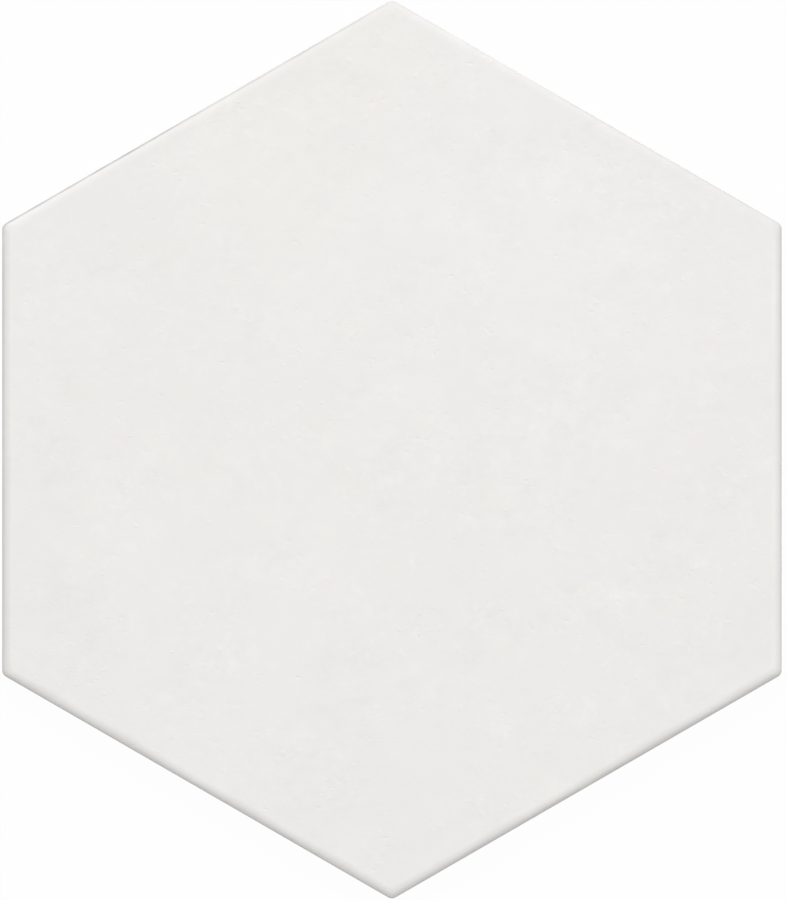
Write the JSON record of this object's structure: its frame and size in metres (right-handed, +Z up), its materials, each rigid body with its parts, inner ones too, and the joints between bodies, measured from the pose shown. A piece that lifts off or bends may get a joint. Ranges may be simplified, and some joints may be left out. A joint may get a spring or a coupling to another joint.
{
  "type": "hexagon floor tile",
  "caption": "Flat hexagonal glazed porcelain floor tile with a soft cushion edge on its face and a keyed back for adhesive.",
  "frame": {"origin": "middle of the tile in plan, on the plane that its back rests on", "axes": "+Z up through the wear face; +X through the middle of one straight side; +Y through one corner"},
  "size_m": [0.23, 0.2648, 0.009],
  "materials": {
    "white_glaze": "matte"
  },
  "bodies": {
    "root": {"hexagon_tile": "white_glaze"}
  },
  "joints": []
}
